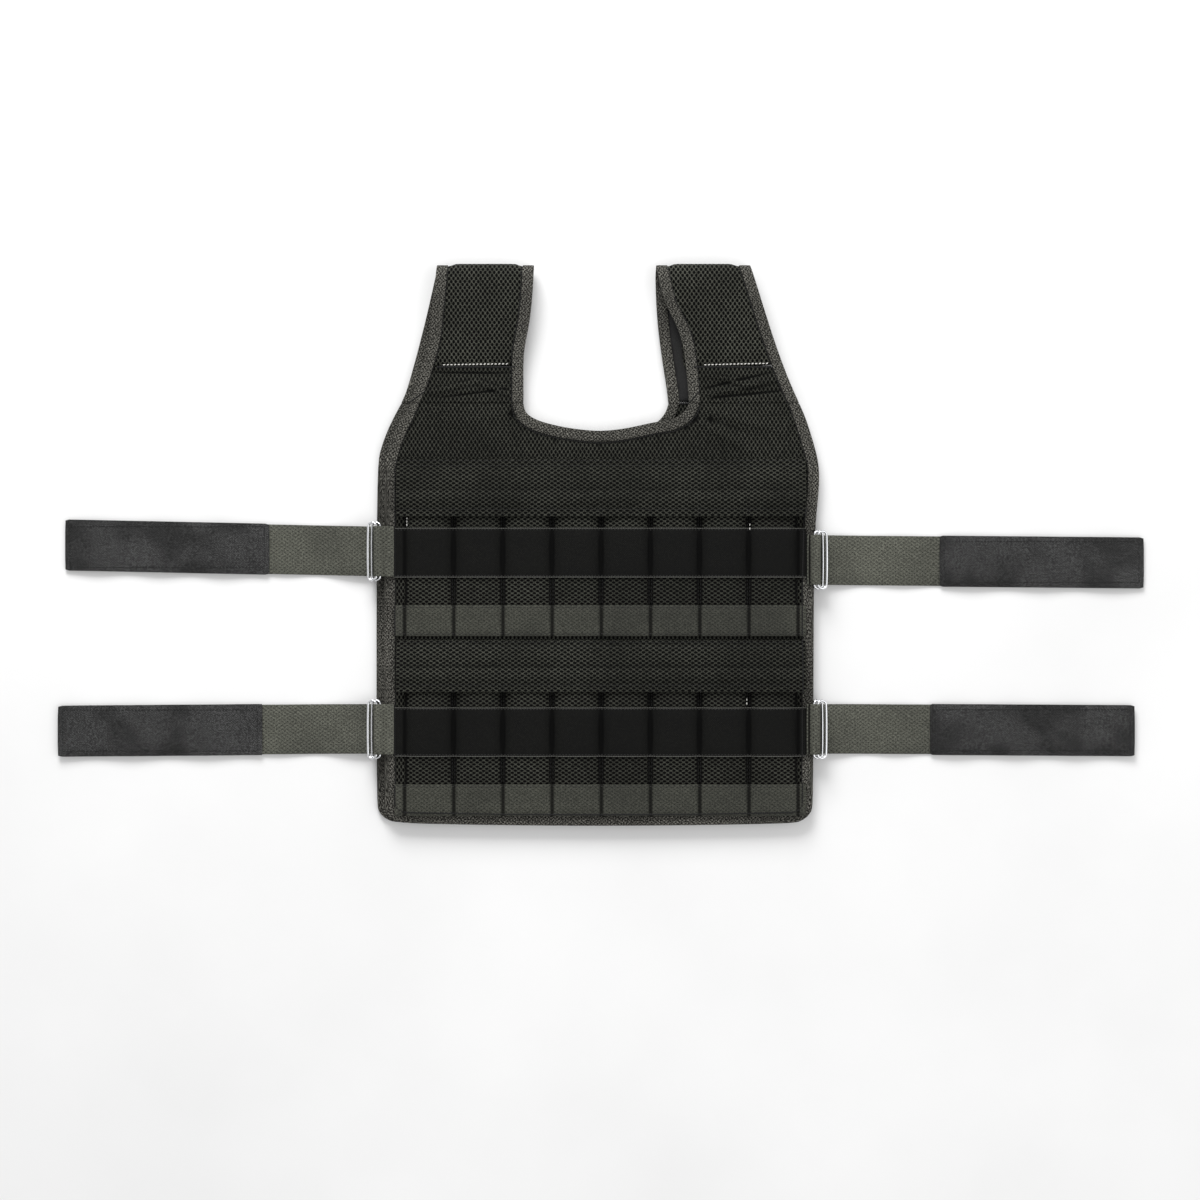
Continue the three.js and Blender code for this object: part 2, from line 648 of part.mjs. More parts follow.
// A flap: sewn on above a row, lying down over the pockets' mouths, with two puffed channels and a flat hem
function flap(edge, row) {
  const top = edge + row.flap;
  const seams = [top - row.seam, top - row.crease, edge + FLAP_HEM];
  const steps = [{ y: top, puff: 0 }];
  for (const k of [0, 1]) {
    for (const t of [0, 0.25, 0.5, 0.75]) {
      steps.push({ y: seams[k] + t * (seams[k + 1] - seams[k]), puff: Math.sin(Math.PI * t) ** 0.7 });
    }
  }
  steps.push({ y: seams[2], puff: 0 }, { y: edge, puff: 0 });
  const mouth = edge + row.covered;
  const climb = seams[0] - mouth - 2 * FIT_GAP;
  const rise = (y) => (POCKET_TOP - POCKET_LEVEL + FIT_GAP) * smooth((seams[0] - y) / climb);
  const columns = 8;
  const face = (thick) => (r, c) => {
    const u = c / (columns - 1);
    const { y, puff } = steps[r];
    const curl = c === columns - 1 ? FLAP_CURL : 0;
    const x = ROW_MIDDLE + (u - 0.5) * FLAP_WIDTH;
    return new THREE.Vector3(x, y, POCKET_LEVEL + rise(y) + curl + thick * (FLAP_THICK + FLAP_PUFF * puff));
  };
  return sheet(steps.length, columns, face(1), face(0));
}

// How far the tip of a side strap lies from the back panel, and how far its middle lies above the hem
function strapReach(strap) {
  return strap.bare + PATCH_LENGTH;
}

function strapMiddle({ row, above }) {
  return ROW_BASE[row] + ROWS[row].web + ROWS[row].mesh + ROWS[row].loop / 2 + above;
}

// Underside of a side strap above the floor, at a distance past the back panel's edge
function strapLevel(distance, strap) {
  const landed = STRAP_LEVEL + STRAP_DROP;
  if (distance < landed) return ROOT_LEVEL * (1 - smooth((distance - STRAP_LEVEL) / STRAP_DROP));
  const turn = (2 * Math.PI * strap.waves * (distance - landed)) / (strapReach(strap) - landed);
  return (WAVE_HEIGHT / 2) * (1 - Math.cos(turn));
}

function strapStations(strap, starts, ends, lift) {
  const middle = strapMiddle(strap);
  const reach = strapReach(strap);
  const edge = edgeX(outerShare, strap.side, 1, middle);
  const landed = STRAP_LEVEL + STRAP_DROP;
  const falling = [1, 2].map((third) => STRAP_LEVEL + (third * STRAP_DROP) / 3);
  const steps = [-STRAP_ROOT, 0, STRAP_LEVEL, ...falling];
  const count = Math.ceil(strap.waves * 4);
  for (let k = 0; k <= count; k += 1) steps.push(landed + (k * (reach - landed)) / count);
  steps.push(strap.bare);
  steps.sort((a, b) => a - b);
  const apart = (d, i) => i === 0 || d - steps[i - 1] >= 1;
  const along = steps.filter((d, i) => d >= starts && d <= ends && apart(d, i));
  return along.map((distance) => ({
    origin: new THREE.Vector3(
      edge + SIDES[strap.side] * distance,
      middle + (strap.lean * Math.max(distance, 0)) / reach,
      strapLevel(distance, strap) + lift,
    ),
    a: new THREE.Vector3(0, 1, 0),
    b: new THREE.Vector3(0, 0, 1),
  }));
}

function flatSection(width, thick) {
  return [
    [-width / 2, 0],
    [width / 2, 0],
    [width / 2, thick],
    [-width / 2, thick],
  ];
}

// The hidden bars of a pair of rings: distance past the panel's edge and height
function ringBars(tab) {
  const lower = { past: tab.bar, z: FRONT_TOP + 2 * FIT_GAP + TAB_THICK + RING_WIRE / 2 };
  const clear = RING_WIRE + FIT_GAP;
  const lift = (clear - RING_STEP * Math.sin(RING_TILT)) / Math.cos(RING_TILT);
  return [lower, { past: tab.bar + RING_STEP, z: lower.z + lift }];
}

// A rounded rectangle of wire that hangs on its hidden bar and slopes down away from the vest
function ring(bar, side, edge, middle) {
  const wire = [];
  const sides = 6;
  for (let k = 0; k < sides; k += 1) {
    const turn = (2 * Math.PI * k) / sides;
    wire.push([(RING_WIRE / 2) * Math.cos(turn), (RING_WIRE / 2) * Math.sin(turn)]);
  }
  const slope = new THREE.Vector3(side * Math.cos(RING_TILT), 0, -Math.sin(RING_TILT));
  const across = new THREE.Vector3(0, 1, 0);
  const normal = new THREE.Vector3().crossVectors(slope, across).multiplyScalar(side);
  const start = new THREE.Vector3(edge + side * bar.past, middle, bar.z);
  const stations = [];
  for (let q = 0; q < 4; q += 1) {
    for (const t of [0, 0.5, 1]) {
      const turn = ((q + t) * Math.PI) / 2;
      const [c, s] = [Math.cos(turn), Math.sin(turn)];
      const outward = q === 0 || q === 3 ? 1 : -1;
      const cornerOut = RING_DEPTH / 2 + outward * (RING_DEPTH / 2 - RING_CORNER);
      const cornerAcross = (q < 2 ? 1 : -1) * (RING_SPAN / 2 - RING_CORNER);
      const origin = start.clone();
      origin.addScaledVector(slope, cornerOut + RING_CORNER * c);
      origin.addScaledVector(across, cornerAcross + RING_CORNER * s);
      const a = new THREE.Vector3().addScaledVector(slope, c).addScaledVector(across, s);
      stations.push({ origin, a, b: normal });
    }
  }
  return sweep(wire, stations, true);
}

// A loop of webbing: two plies sewn on the panel's edge, opening round the two hidden bars
function tabLoop(tab, side, edge, middle) {
  const [lower, upper] = ringBars(tab);
  const around = RING_WIRE / 2 + FIT_GAP + TAB_THICK / 2;
  const bottom = FRONT_TOP + FIT_GAP + TAB_THICK / 2;
  const folded = bottom + TAB_THICK + FIT_GAP;
  const line = [
    [-tab.root, bottom],
    [upper.past, bottom],
    [upper.past + 0.75 * around, bottom + 0.45 * around],
    [upper.past + around, bottom + 1.3 * around],
    [upper.past + around, upper.z],
    [upper.past + 0.7 * around, upper.z + 0.7 * around],
    [upper.past, upper.z + around],
    [lower.past, upper.z + around - 0.15 * RING_STEP],
    [lower.past - 0.8 * around, lower.z + 0.75 * around],
    [-tab.root + 3, folded],
    [-tab.root, folded],
  ].map(([past, z]) => new THREE.Vector2(past, z));
  const offset = (way) =>
    line.map((point, i) => {
      const before = line[Math.max(i - 1, 0)];
      const after = line[Math.min(i + 1, line.length - 1)];
      const into = (i > 0 ? point.clone().sub(before) : after.clone().sub(point)).normalize();
      const outOf = (i < line.length - 1 ? after.clone().sub(point) : point.clone().sub(before)).normalize();
      const along = into.clone().add(outOf).normalize();
      const miter = TAB_THICK / 2 / along.dot(outOf);
      return [point.x - way * miter * along.y, point.y + way * miter * along.x];
    });
  const section = [...offset(1), ...offset(-1).reverse()];
  const stations = [-1, 1].map((end) => ({
    origin: new THREE.Vector3(edge, middle + (end * TAB_HEIGHT) / 2, 0),
    a: new THREE.Vector3(side, 0, 0),
    b: new THREE.Vector3(0, 0, 1),
  }));
  return sweep(section, stations);
}

// The back layer, which lies on the floor
const [backOuter, backNeck] = boundEdges(1, BACK_NECK, BACK_NECK_DROP);
addPiece('back_panel', panel([backOuter, backNeck], BACK_MID), 'mesh');
addPiece('back_edge_binding', flatBinding(backOuter, BACK_MID), 'binding');
addPiece('back_neck_binding', flatBinding(backNeck, BACK_MID), 'binding');

// The front layer, which lies on the sewn ends of the side straps
const [frontOuter, frontNeck] = boundEdges(0, FRONT_NECK, NECK_DROP);
addPiece('front_panel', panel([frontOuter, frontNeck], FRONT_MID), 'mesh');
addPiece('front_edge_binding', flatBinding(frontOuter, FRONT_MID), 'binding');
addPiece('front_neck_binding', flatBinding(frontNeck, FRONT_MID), 'binding');

// The shoulders
for (const side of Object.keys(SIDES)) {
  addPiece(`${side}_shoulder_pad`, shoulderPad(side), 'mesh');
  addPiece(`${side}_strap_join`, strapJoin(side), 'mesh');
  for (const which of ['outer', 'inner']) {
    addPiece(`${side}_shoulder_${which}_binding`, shoulderBinding(side, which), 'binding');
  }
}

// Two rows of pockets with their bands and flaps
for (const [name, row] of Object.entries(ROWS)) {
  const base = ROW_BASE[name];
  const edge = base + row.web + row.mesh + row.loop + row.strip;
  const loopFrom = base + row.web + row.mesh;
  for (let k = 0; k < POCKETS; k += 1) addPiece(`${name}_pocket_${k + 1}`, pocket(k, base, row), 'mesh');
  addPiece(`${name}_web_band`, band(base, base + row.web, WEB_THICK, 0), 'webbing');
  addPiece(`${name}_loop_band`, band(loopFrom, loopFrom + row.loop, LOOP_THICK, 1), 'loop');
  addPiece(`${name}_flap`, flap(edge, row), 'mesh');
}

// The side straps, each with its hook patch, and the loop and two rings that it is fastened to
for (const strap of SIDE_STRAPS) {
  const name = `${strap.row}_${strap.side}`;
  const reach = strapReach(strap);
  const webbing = strapStations(strap, -STRAP_ROOT, reach, 0);
  const hook = strapStations(strap, strap.bare, reach, STRAP_THICK + FIT_GAP);
  addPiece(`${name}_strap`, sweep(flatSection(STRAP_WIDTH, STRAP_THICK), webbing), 'webbing');
  addPiece(`${name}_hook_patch`, sweep(flatSection(PATCH_WIDTH, PATCH_THICK), hook), 'hook');
  const middle = strapMiddle(strap);
  const tab = TABS[strap.side];
  const edge = edgeX(outerShare, strap.side, 0, middle);
  addPiece(`${name}_tab`, tabLoop(tab, SIDES[strap.side], edge, middle), 'webbing');
  ringBars(tab).forEach((bar, k) => {
    addPiece(`${name}_ring_${k + 1}`, ring(bar, SIDES[strap.side], edge, middle), 'steel');
  });
}

// The origin is the middle of the whole piece, on the floor
const box = new THREE.Box3().setFromObject(vest);
vest.position.set(-(box.min.x + box.max.x) / 2, -(box.min.y + box.max.y) / 2, -box.min.z);

export default vest;
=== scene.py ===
# %% [markdown]
# # A weighted vest, dressed from its frame
# The frame gives every piece of the vest as a plain solid. Each cell below turns one kind of piece into
# cloth, tape or wire. The frame is loaded first, because everything else takes its place and size from it.

import json
import math

import bmesh
import bpy
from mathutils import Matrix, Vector
from mathutils.bvhtree import BVHTree

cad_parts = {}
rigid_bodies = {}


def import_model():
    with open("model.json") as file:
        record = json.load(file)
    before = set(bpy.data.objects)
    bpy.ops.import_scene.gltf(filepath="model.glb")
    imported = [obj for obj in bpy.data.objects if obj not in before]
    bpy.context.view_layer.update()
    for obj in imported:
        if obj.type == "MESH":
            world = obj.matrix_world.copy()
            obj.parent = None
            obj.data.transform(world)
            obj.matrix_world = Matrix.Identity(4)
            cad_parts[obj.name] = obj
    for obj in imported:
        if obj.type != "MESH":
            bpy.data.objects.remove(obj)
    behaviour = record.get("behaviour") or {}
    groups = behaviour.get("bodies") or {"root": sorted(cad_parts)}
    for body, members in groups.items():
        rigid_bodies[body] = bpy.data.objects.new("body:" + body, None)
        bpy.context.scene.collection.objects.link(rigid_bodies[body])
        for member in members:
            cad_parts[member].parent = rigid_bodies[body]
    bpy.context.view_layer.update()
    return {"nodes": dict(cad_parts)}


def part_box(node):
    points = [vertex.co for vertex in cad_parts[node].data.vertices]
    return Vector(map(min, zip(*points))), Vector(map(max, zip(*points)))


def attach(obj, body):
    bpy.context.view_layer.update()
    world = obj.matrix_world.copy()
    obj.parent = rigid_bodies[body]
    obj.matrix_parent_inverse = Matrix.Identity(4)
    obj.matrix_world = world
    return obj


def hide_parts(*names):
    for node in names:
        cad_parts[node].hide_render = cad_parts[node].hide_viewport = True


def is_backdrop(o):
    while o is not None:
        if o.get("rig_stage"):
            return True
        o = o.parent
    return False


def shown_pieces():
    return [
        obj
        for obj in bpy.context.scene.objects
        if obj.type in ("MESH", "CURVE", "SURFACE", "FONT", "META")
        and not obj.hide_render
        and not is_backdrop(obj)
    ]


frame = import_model()
NODES = frame["nodes"]
print("pieces in the frame:", len(NODES))

# %% [markdown]
# ## Working by operator
# Operators act on whatever is selected, so a helper deselects everything and then selects one piece.
# A frame solid is made of loose triangles. A copy of it is merged and turned back into quads, because
# subdivision and seams need clean quads.

# %% Selection and copies
MM = 0.001
ROWS = ("upper", "lower")
SIDES = ("left", "right")


def only(*objects):
    if bpy.context.object and bpy.context.object.mode != "OBJECT":
        bpy.ops.object.mode_set(mode="OBJECT")
    bpy.ops.object.select_all(action="DESELECT")
    for thing in objects:
        thing.hide_set(False)
        thing.select_set(True)
    bpy.context.view_layer.objects.active = objects[0]


def copy_of(node):
    source = NODES[node]
    only(source)
    bpy.ops.object.duplicate()
    piece = bpy.context.active_object
    for key in [k for k in piece.keys() if k.startswith("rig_")]:
        del piece[key]
    piece.name = node + "_cloth"
    piece.data.materials.clear()
    bpy.ops.object.mode_set(mode="EDIT")
    bpy.ops.mesh.select_all(action="SELECT")
    bpy.ops.mesh.remove_doubles(threshold=0.00002)
    bpy.ops.mesh.tris_convert_to_quads(face_threshold=math.radians(50), shape_threshold=math.radians(60))
    bpy.ops.object.mode_set(mode="OBJECT")
    return piece


def modify(piece, kind, **values):
    only(piece)
    modifier = piece.modifiers.new(kind.title(), kind)
    for name, value in values.items():
        setattr(modifier, name, value)
    bpy.ops.object.modifier_apply(modifier=modifier.name)


def hold_edges(piece, degrees, crease=0.9):
    mesh = bmesh.new()
    mesh.from_mesh(piece.data)
    layer = mesh.edges.layers.float.get("crease_edge") or mesh.edges.layers.float.new("crease_edge")
    for edge in mesh.edges:
        if len(edge.link_faces) == 2 and edge.calc_face_angle(0) > math.radians(degrees):
            edge[layer] = crease
    mesh.to_mesh(piece.data)
    mesh.free()


def soften(piece, levels, degrees=50, crease=0.9):
    hold_edges(piece, degrees, crease)
    modify(piece, "SUBSURF", levels=levels, render_levels=levels)
    only(piece)
    bpy.ops.object.shade_smooth_by_angle(angle=math.radians(40))


TIGHT_FOLD = 4 * MM


def mark_fold_shade(piece, rounds=2):
    """Store on each point how tightly the surface bends inwards there, 0 in the open and 1 in a tight seam or crease;
    cloth materials paint shade from it.
    """
    mesh = bmesh.new()
    mesh.from_mesh(piece.data)
    mesh.normal_update()
    values = []
    for vert in mesh.verts:
        bends = []
        for edge in vert.link_edges:
            step = edge.other_vert(vert).co - vert.co
            bends.append(step.dot(vert.normal) / max(step.length_squared, 1e-9))
        values.append(max(0.0, sum(bends) / max(1, len(bends))) * 2 * TIGHT_FOLD)
    for _ in range(rounds):
        values = [
            (values[v.index] + sum(values[e.other_vert(v).index] for e in v.link_edges)) / (1 + len(v.link_edges))
            for v in mesh.verts
        ]
    mesh.free()
    layer = piece.data.attributes.new("fold_shade", "FLOAT", "POINT")
    layer.data.foreach_set("value", [min(1.0, value) for value in values])


def dress(piece, material, slot, *nodes):
    # Each piece gets the fold measure that the cloth materials turn into painted shade.
    mark_fold_shade(piece)
    piece.data.materials.clear()
    piece.data.materials.append(material)
    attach(piece, "root")
    if nodes:
        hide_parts(*nodes)
    return piece


# %% [markdown]
# ## A lattice that every weave shares
# Knitted mesh, webbing and twill are all small cells in staggered rows. One node group makes the lattice:
# it gives how near a point is to the middle of its cell, so holes, yarns and ribs can all be cut from it.

# %% Shader helpers
def shade(value, tint=(1, 1, 1)):
    return tuple(value * part for part in tint) + (1,)


def new_group(name, inputs, outputs):
    group = bpy.data.node_groups.new(name, "ShaderNodeTree")
    for kind, label, value in inputs:
        socket = group.interface.new_socket(label, in_out="INPUT", socket_type=kind)
        if value is not None:
            socket.default_value = value
    for kind, label in outputs:
        group.interface.new_socket(label, in_out="OUTPUT", socket_type=kind)
    return group, group.nodes.new("NodeGroupInput"), group.nodes.new("NodeGroupOutput")


def math_node(tree, operation, *values):
    node = tree.nodes.new("ShaderNodeMath")
    node.operation = operation
    for slot, value in enumerate(values):
        if isinstance(value, (int, float)):
            node.inputs[slot].default_value = value
        else:
            tree.links.new(value, node.inputs[slot])
    return node.outputs[0]


def range_node(tree, value, low, high, to_low=0.0, to_high=1.0):
    node = tree.nodes.new("ShaderNodeMapRange")
    node.interpolation_type = "SMOOTHSTEP"
    for name, number in (("From Min", low), ("From Max", high), ("To Min", to_low), ("To Max", to_high)):
        node.inputs[name].default_value = number
    tree.links.new(value, node.inputs["Value"])
    return node.outputs["Result"]


def mix_node(tree, share, first, second, blend="MIX"):
    node = tree.nodes.new("ShaderNodeMix")
    node.data_type = "RGBA"
    node.blend_type = blend
    for socket, value in ((node.inputs[0], share), (node.inputs[6], first), (node.inputs[7], second)):
        if isinstance(value, (int, float, tuple)):
            socket.default_value = value
        else:
            tree.links.new(value, socket)
    return node.outputs[2]


# %% The staggered lattice
FLOAT, VECTOR = "NodeSocketFloat", "NodeSocketVector"


def build_lattice():
    group, given, made = new_group(
        "staggered_lattice",
        [(VECTOR, "Vector", None), (FLOAT, "Pitch X", 0.0045), (FLOAT, "Pitch Y", 0.0062), (FLOAT, "Wander", 0.0004)],
        [(FLOAT, "Distance"), (FLOAT, "Shade")],
    )
    links = group.links
    noise = group.nodes.new("ShaderNodeTexNoise")
    noise.inputs["Scale"].default_value = 45
    links.new(given.outputs["Vector"], noise.inputs["Vector"])
    shift = math_node(group, "MULTIPLY", math_node(group, "SUBTRACT", noise.outputs[0], 0.5), given.outputs["Wander"])
    parts = group.nodes.new("ShaderNodeSeparateXYZ")
    links.new(given.outputs["Vector"], parts.inputs[0])
    across = math_node(group, "DIVIDE", math_node(group, "ADD", parts.outputs[0], shift), given.outputs["Pitch X"])
    along = math_node(group, "DIVIDE", math_node(group, "ADD", parts.outputs[1], shift), given.outputs["Pitch Y"])
    distances = []
    for offset in (0.0, 0.5):
        cells = []
        for run in (across, along):
            moved = math_node(group, "ADD", run, offset)
            cells.append(math_node(group, "SUBTRACT", math_node(group, "FRACT", moved), 0.5))
        squares = [math_node(group, "POWER", math_node(group, "ABSOLUTE", cell), 2) for cell in cells]
        distances.append(math_node(group, "SQRT", math_node(group, "ADD", *squares)))
    links.new(math_node(group, "MINIMUM", *distances), made.inputs["Distance"])
    broad = group.nodes.new("ShaderNodeTexNoise")
    broad.inputs["Scale"].default_value = 9
    broad.inputs["Detail"].default_value = 4
    links.new(given.outputs["Vector"], broad.inputs["Vector"])
    links.new(broad.outputs[0], made.inputs["Shade"])
    return group


LATTICE = build_lattice()
print("made the lattice with", len(LATTICE.nodes), "nodes")

# %% [markdown]
# ## Cloth materials
# Each material sets its own pitch on the lattice. Mesh cloth is dark holes between thin threads, webbing is
# raised yarns with dark gaps, and both get soft random darker patches, partly tone and partly painted shade
# for the gentle waves in the cloth. Folds, creases and the grooves at pocket seams get painted shade too.


# %% Woven and knitted cloth
def divider_shade(tree, source):
    """Painted shade: a dark line down the groove at each seam between two pockets, spaced as the pockets are."""
    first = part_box("upper_pocket_1")[0].x
    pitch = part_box("upper_pocket_2")[0].x - first
    parts = tree.nodes.new("ShaderNodeSeparateXYZ")
    tree.links.new(source, parts.inputs[0])
    turns = math_node(tree, "DIVIDE", math_node(tree, "SUBTRACT", parts.outputs[0], first), pitch)
    part = math_node(tree, "SUBTRACT", math_node(tree, "FRACT", math_node(tree, "ADD", turns, 0.5)), 0.5)
    away = math_node(tree, "MULTIPLY", math_node(tree, "ABSOLUTE", part), pitch / MM)
    return range_node(tree, away, 0.7, 3.2, 0.85, 0.0)


def cloth_material(name, pitch, wander, low, high, gap, thread, light, bump, uv=False, divided=False, fleck=900, patch_shade_depth=0.15):
    material = bpy.data.materials.new(name)
    material.use_nodes = True
    tree = material.node_tree
    shader = tree.nodes["Principled BSDF"]
    shader.inputs["Specular IOR Level"].default_value = 0.06
    place = tree.nodes.new("ShaderNodeUVMap" if uv else "ShaderNodeTexCoord")
    source = place.outputs[0] if uv else place.outputs["Object"]
    lattice = tree.nodes.new("ShaderNodeGroup")
    lattice.node_tree = LATTICE
    tree.links.new(source, lattice.inputs["Vector"])
    lattice.inputs["Pitch X"].default_value = pitch[0] * MM
    lattice.inputs["Pitch Y"].default_value = pitch[1] * MM
    lattice.inputs["Wander"].default_value = wander * MM
    mask = range_node(tree, lattice.outputs["Distance"], low, high)
    fuzz = tree.nodes.new("ShaderNodeTexNoise")
    fuzz.inputs["Scale"].default_value = fleck
    tree.links.new(source, fuzz.inputs["Vector"])
    lively = mix_node(tree, range_node(tree, fuzz.outputs[0], 0.38, 0.66), thread, light)
    shaded = mix_node(tree, range_node(tree, lattice.outputs["Shade"], 0.3, 0.7, 0.0, 0.25), lively, gap)
    # Painted shade: folds, creases and seams are darkened towards near black by how tightly the surface bends inwards
    # there.
    fold_shade = tree.nodes.new("ShaderNodeAttribute")
    fold_shade.attribute_name = "fold_shade"
    painted_shade = range_node(tree, fold_shade.outputs["Fac"], 0.02, 0.45, 0.0, 0.9)
    # Painted shade also runs down the grooves at the pocket seams.
    if divided:
        painted_shade = math_node(tree, "MAXIMUM", painted_shade, divider_shade(tree, source))
    # Soft random darker patches: partly tone that differs at random, partly painted shade for the soft shading across
    # the gentle waves of the cloth.
    drift = tree.nodes.new("ShaderNodeTexNoise")
    drift.inputs["Scale"].default_value = 17
    tree.links.new(source, drift.inputs["Vector"])
    patchy_shaded = mix_node(tree, range_node(tree, drift.outputs[0], 0.42, 0.62, 0.0, patch_shade_depth), shaded, gap)
    woven = mix_node(tree, mask, gap, patchy_shaded)
    # The painted shade of folds and pocket seams is mixed in last, over the woven colour.
    tree.links.new(mix_node(tree, painted_shade, woven, shade(0.0015)), shader.inputs["Base Color"])
    tree.links.new(range_node(tree, fuzz.outputs[0], 0.2, 0.8, 0.75, 0.95), shader.inputs["Roughness"])
    height = math_node(tree, "ADD", mask, math_node(tree, "MULTIPLY", fuzz.outputs[0], 0.25))
    relief = tree.nodes.new("ShaderNodeBump")
    relief.inputs["Distance"].default_value = bump * MM
    relief.inputs["Strength"].default_value = 0.8
    tree.links.new(height, relief.inputs["Height"])
    tree.links.new(relief.outputs[0], shader.inputs["Normal"])
    return material


OLIVE = (1.0, 1.02, 0.84)
BROWNISH = (1.03, 1.0, 0.88)
HOLE = shade(0.0012)
PAD_LOW, PAD_HIGH = shade(0.035, OLIVE), shade(0.1, OLIVE)
BODY_LOW, BODY_HIGH = shade(0.025, OLIVE), shade(0.07, OLIVE)
pad_mesh = cloth_material("pad_mesh", (4.5, 6.2), 0.6, 0.24, 0.33, HOLE, PAD_LOW, PAD_HIGH, 0.6)
yoke_mesh = cloth_material("yoke_mesh", (4.1, 6.6), 0.6, 0.24, 0.33, HOLE, BODY_LOW, BODY_HIGH, 0.6)
flap_mesh = cloth_material("flap_mesh", (6.5, 4.2), 0.6, 0.24, 0.33, HOLE, BODY_LOW, BODY_HIGH, 0.6)
pocket_mesh = cloth_material(
    "pocket_mesh", (6.3, 4.2), 0.6, 0.24, 0.33, HOLE, BODY_LOW, BODY_HIGH, 0.6, divided=True
)
WEAVE = ((5.4, 3.8), 0.2, 0.55, 0.25, shade(0.016))
webbing = cloth_material("webbing", *WEAVE, shade(0.07, OLIVE), shade(0.16, OLIVE), 0.6)
band_webbing = cloth_material("band_webbing", *WEAVE, shade(0.042, OLIVE), shade(0.09, OLIVE), 0.6, divided=True)
# The hook patches get the strongest patchy painted shade, for the dark bands across their waves.
hook_tape = cloth_material("hook_tape", (1.6, 2.4), 0.8, 0.5, 0.1, shade(0.01), shade(0.04), shade(0.15), 0.5, patch_shade_depth=0.5)
LOOP_LOW, LOOP_HIGH = shade(0.011, OLIVE), shade(0.034, OLIVE)
loop_tape = cloth_material("loop_tape", (2.2, 1.7), 3.0, 0.2, 0.6, shade(0.006), LOOP_LOW, LOOP_HIGH, 0.6, divided=True)
lining = cloth_material("lining", (1.2, 1.2), 0.2, 0.5, 0.1, shade(0.015), shade(0.03), shade(0.042), 0.2)
TWILL_LOW, TWILL_HIGH = shade(0.006, BROWNISH), shade(0.215, BROWNISH)
twill = cloth_material(
    "twill", (4.0, 3.4), 0.4, 0.5, 0.2, shade(0.003), TWILL_LOW, TWILL_HIGH, 0.6, uv=True, fleck=760
)
print("cloth materials:", [m.name for m in bpy.data.materials])

# %% [markdown]
# ## Wire and thread
# The rings are polished wire, with faint smudges in the roughness so that they don't look like a mirror toy.
# Thread is matte, light where the photo shows white stitches and dark elsewhere.


# %% Plain materials with variation
def worn_material(name, colour, metallic, rough_low, rough_high, scale):
    material = bpy.data.materials.new(name)
    material.use_nodes = True
    tree = material.node_tree
    shader = tree.nodes["Principled BSDF"]
    shader.inputs["Metallic"].default_value = metallic
    place = tree.nodes.new("ShaderNodeTexCoord")
    noise = tree.nodes.new("ShaderNodeTexNoise")
    noise.inputs["Scale"].default_value = scale
    noise.inputs["Detail"].default_value = 5
    tree.links.new(place.outputs["Object"], noise.inputs["Vector"])
    darker = tuple(part * 0.82 for part in colour[:3]) + (1,)
    tree.links.new(mix_node(tree, noise.outputs[0], colour, darker), shader.inputs["Base Color"])
    tree.links.new(range_node(tree, noise.outputs[0], 0.3, 0.7, rough_low, rough_high), shader.inputs["Roughness"])
    return material


polished_wire = worn_material("polished_wire", (0.86, 0.87, 0.89, 1), 1.0, 0.08, 0.22, 160)
dark_thread = worn_material("dark_thread", (0.012, 0.012, 0.011, 1), 0.0, 0.6, 0.8, 700)
black_thread = worn_material("black_thread", (0.002, 0.002, 0.002, 1), 0.0, 0.8, 0.9, 700)
grey_thread = worn_material("grey_thread", (0.1, 0.1, 0.09, 1), 0.0, 0.6, 0.8, 900)
white_thread = worn_material("white_thread", (0.72, 0.71, 0.67, 1), 0.0, 0.6, 0.8, 700)
floor_paint = worn_material("floor_paint", (0.9, 0.9, 0.9, 1), 0.0, 0.75, 0.85, 3)

# %% [markdown]
# ## Rings
# A bent wire ring has no seam to show, so its copy is only made round by subdivision.

# %% Round the rings
for row in ROWS:
    for side in SIDES:
        for number in (1, 2):
            node = f"{row}_{side}_ring_{number}"
            ring = copy_of(node)
            soften(ring, 2, degrees=179)
            dress(ring, polished_wire, "ring", node)
print("rings: 8")

# %% [markdown]
# ## Bindings
# Binding tape runs round corners and over the shoulders, so its twill has to turn with it. A walk from one end
# of the piece to the other finds its sections in turn. Their distance along the edge becomes the UV map.


# %% Measure a tape along its run
def sections_of(mesh, starts):
    order = {}
    ring = [v for v in mesh.verts if starts(v.co)]
    step = 0
    rings = []
    while ring:
        for vert in ring:
            order[vert.index] = step
        rings.append(sum((v.co for v in ring), Vector()) / len(ring))
        step += 1
        ring = list({e.other_vert(v) for v in ring for e in v.link_edges if e.other_vert(v).index not in order})
    return order, rings


def across_flat(middles, step):
    """The level direction square to the run of a tape that lies flat."""
    run = middles[min(step + 1, len(middles) - 1)] - middles[max(step - 1, 0)]
    return Vector((-run.y, run.x, 0)).normalized()


def across_shoulder(middles, step):
    return Vector((1, 0, 0))


TAPE_SIDES = {}


